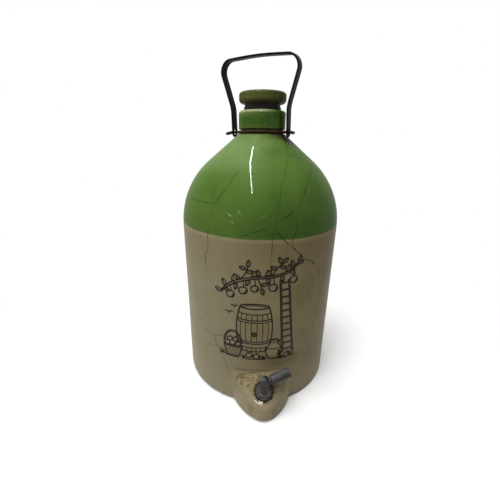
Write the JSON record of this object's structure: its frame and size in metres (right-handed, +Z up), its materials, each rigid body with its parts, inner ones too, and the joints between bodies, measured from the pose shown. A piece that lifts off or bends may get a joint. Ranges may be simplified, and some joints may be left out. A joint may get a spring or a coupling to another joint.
{
  "type": "stoneware flagon with tap",
  "caption": "Glazed stoneware jar with domed shoulder, screw stopper, strap carrying handle on a neck wire, and a swivel-spout tap in a boss at the foot.",
  "frame": {"origin": "centre of the flat base, on the surface the jar stands on", "axes": "+Z up the jar's axis, -Y towards the tap boss, +X to the right seen from the tap side"},
  "size_m": [0.172, 0.1966, 0.3477],
  "materials": {
    "glaze": "glossy salt glaze, leaf green over the shoulder and cream below, finely crazed",
    "stopper_glaze": "glossy olive green glaze, worn",
    "rubber": "matt black rubber",
    "wire": "dull iron wire, brown with rust",
    "strap": "black japanned steel strip, worn at the edges",
    "cork": "dark wet cork",
    "tap_metal": "dull grey cast metal, tarnished",
    "washer": "dark oiled leather",
    "clip": "dull spring brass"
  },
  "bodies": {
    "jar": {"jar_body": "glaze", "tap_bush": "cork", "tap_barrel": "tap_metal", "tap_washer": "washer"},
    "stopper_rise": {"stopper_ring": "rubber"},
    "stopper_head": {"stopper": "stopper_glaze"},
    "neck_ring": {"neck_wire_front": "wire", "neck_wire_back": "wire"},
    "handle": {"carrying_handle": "strap"},
    "tap_key": {"tap_plug": "tap_metal", "spout_tube": "tap_metal", "plug_clip": "clip"}
  },
  "joints": [
    {"name": "stopper_lift", "type": "slide", "parent": "jar", "child": "stopper_rise", "axis": [0, 0, 1], "range_m": [0, 0.0136]},
    {"name": "stopper_turn", "type": "hinge", "parent": "stopper_rise", "child": "stopper_head", "pos_m": [0, 0, 0.2993], "axis": [0, 0, 1], "range_deg": [0, 1080]},
    {"name": "neck_swivel", "type": "hinge", "parent": "jar", "child": "neck_ring", "pos_m": [0, 0, 0.27944], "axis": [0, 0, 1], "continuous": true},
    {"name": "handle_swing", "type": "hinge", "parent": "neck_ring", "child": "handle", "pos_m": [0, 0, 0.27944], "axis": [0.8712, -0.4909, 0], "range_deg": [-102, 90]},
    {"name": "spout_turn", "type": "hinge", "parent": "jar", "child": "tap_key", "pos_m": [0, -0.0993, 0.0305], "axis": [0, 0.7071, -0.7071], "range_deg": [0, 230]}
  ],
  "couplings": [
    {"joint": "stopper_lift", "follows": "stopper_turn", "m_per_rad": 0.0007162}
  ]
}
